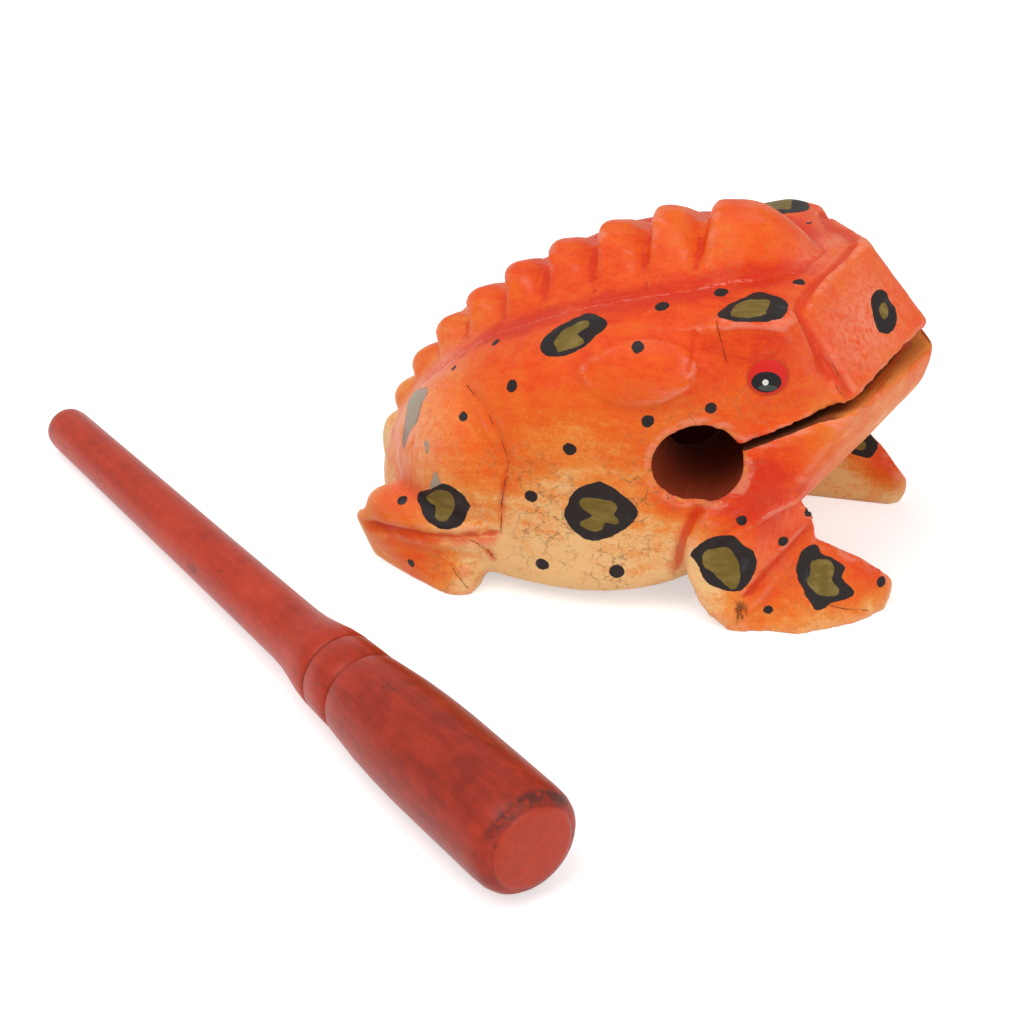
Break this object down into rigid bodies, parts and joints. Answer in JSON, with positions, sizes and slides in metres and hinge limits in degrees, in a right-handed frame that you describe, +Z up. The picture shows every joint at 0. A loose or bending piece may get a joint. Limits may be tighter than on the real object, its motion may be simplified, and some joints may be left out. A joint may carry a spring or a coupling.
{
  "type": "frog guiro",
  "caption": "Carved wooden frog rasp with a saw-toothed back ridge, a sawn mouth, a cross bore and a sound hollow, and its separate turned wooden stick lying beside it.",
  "frame": {"origin": "on the surface that the set lies on, in the middle of the set's footprint", "axes": "+X the way the frog looks, +Z up, so the stick lies at the frog's right-hand side, on the -Y side"},
  "size_m": [0.1668, 0.144, 0.0647],
  "materials": {
    "frog_paint": "orange paint with dark spots on carved wood, satin, finely crackled",
    "striker_paint": "brick-red satin paint on turned wood, scuffed"
  },
  "bodies": {
    "root": {"frog_body": "frog_paint", "striker": "striker_paint"}
  },
  "joints": []
}
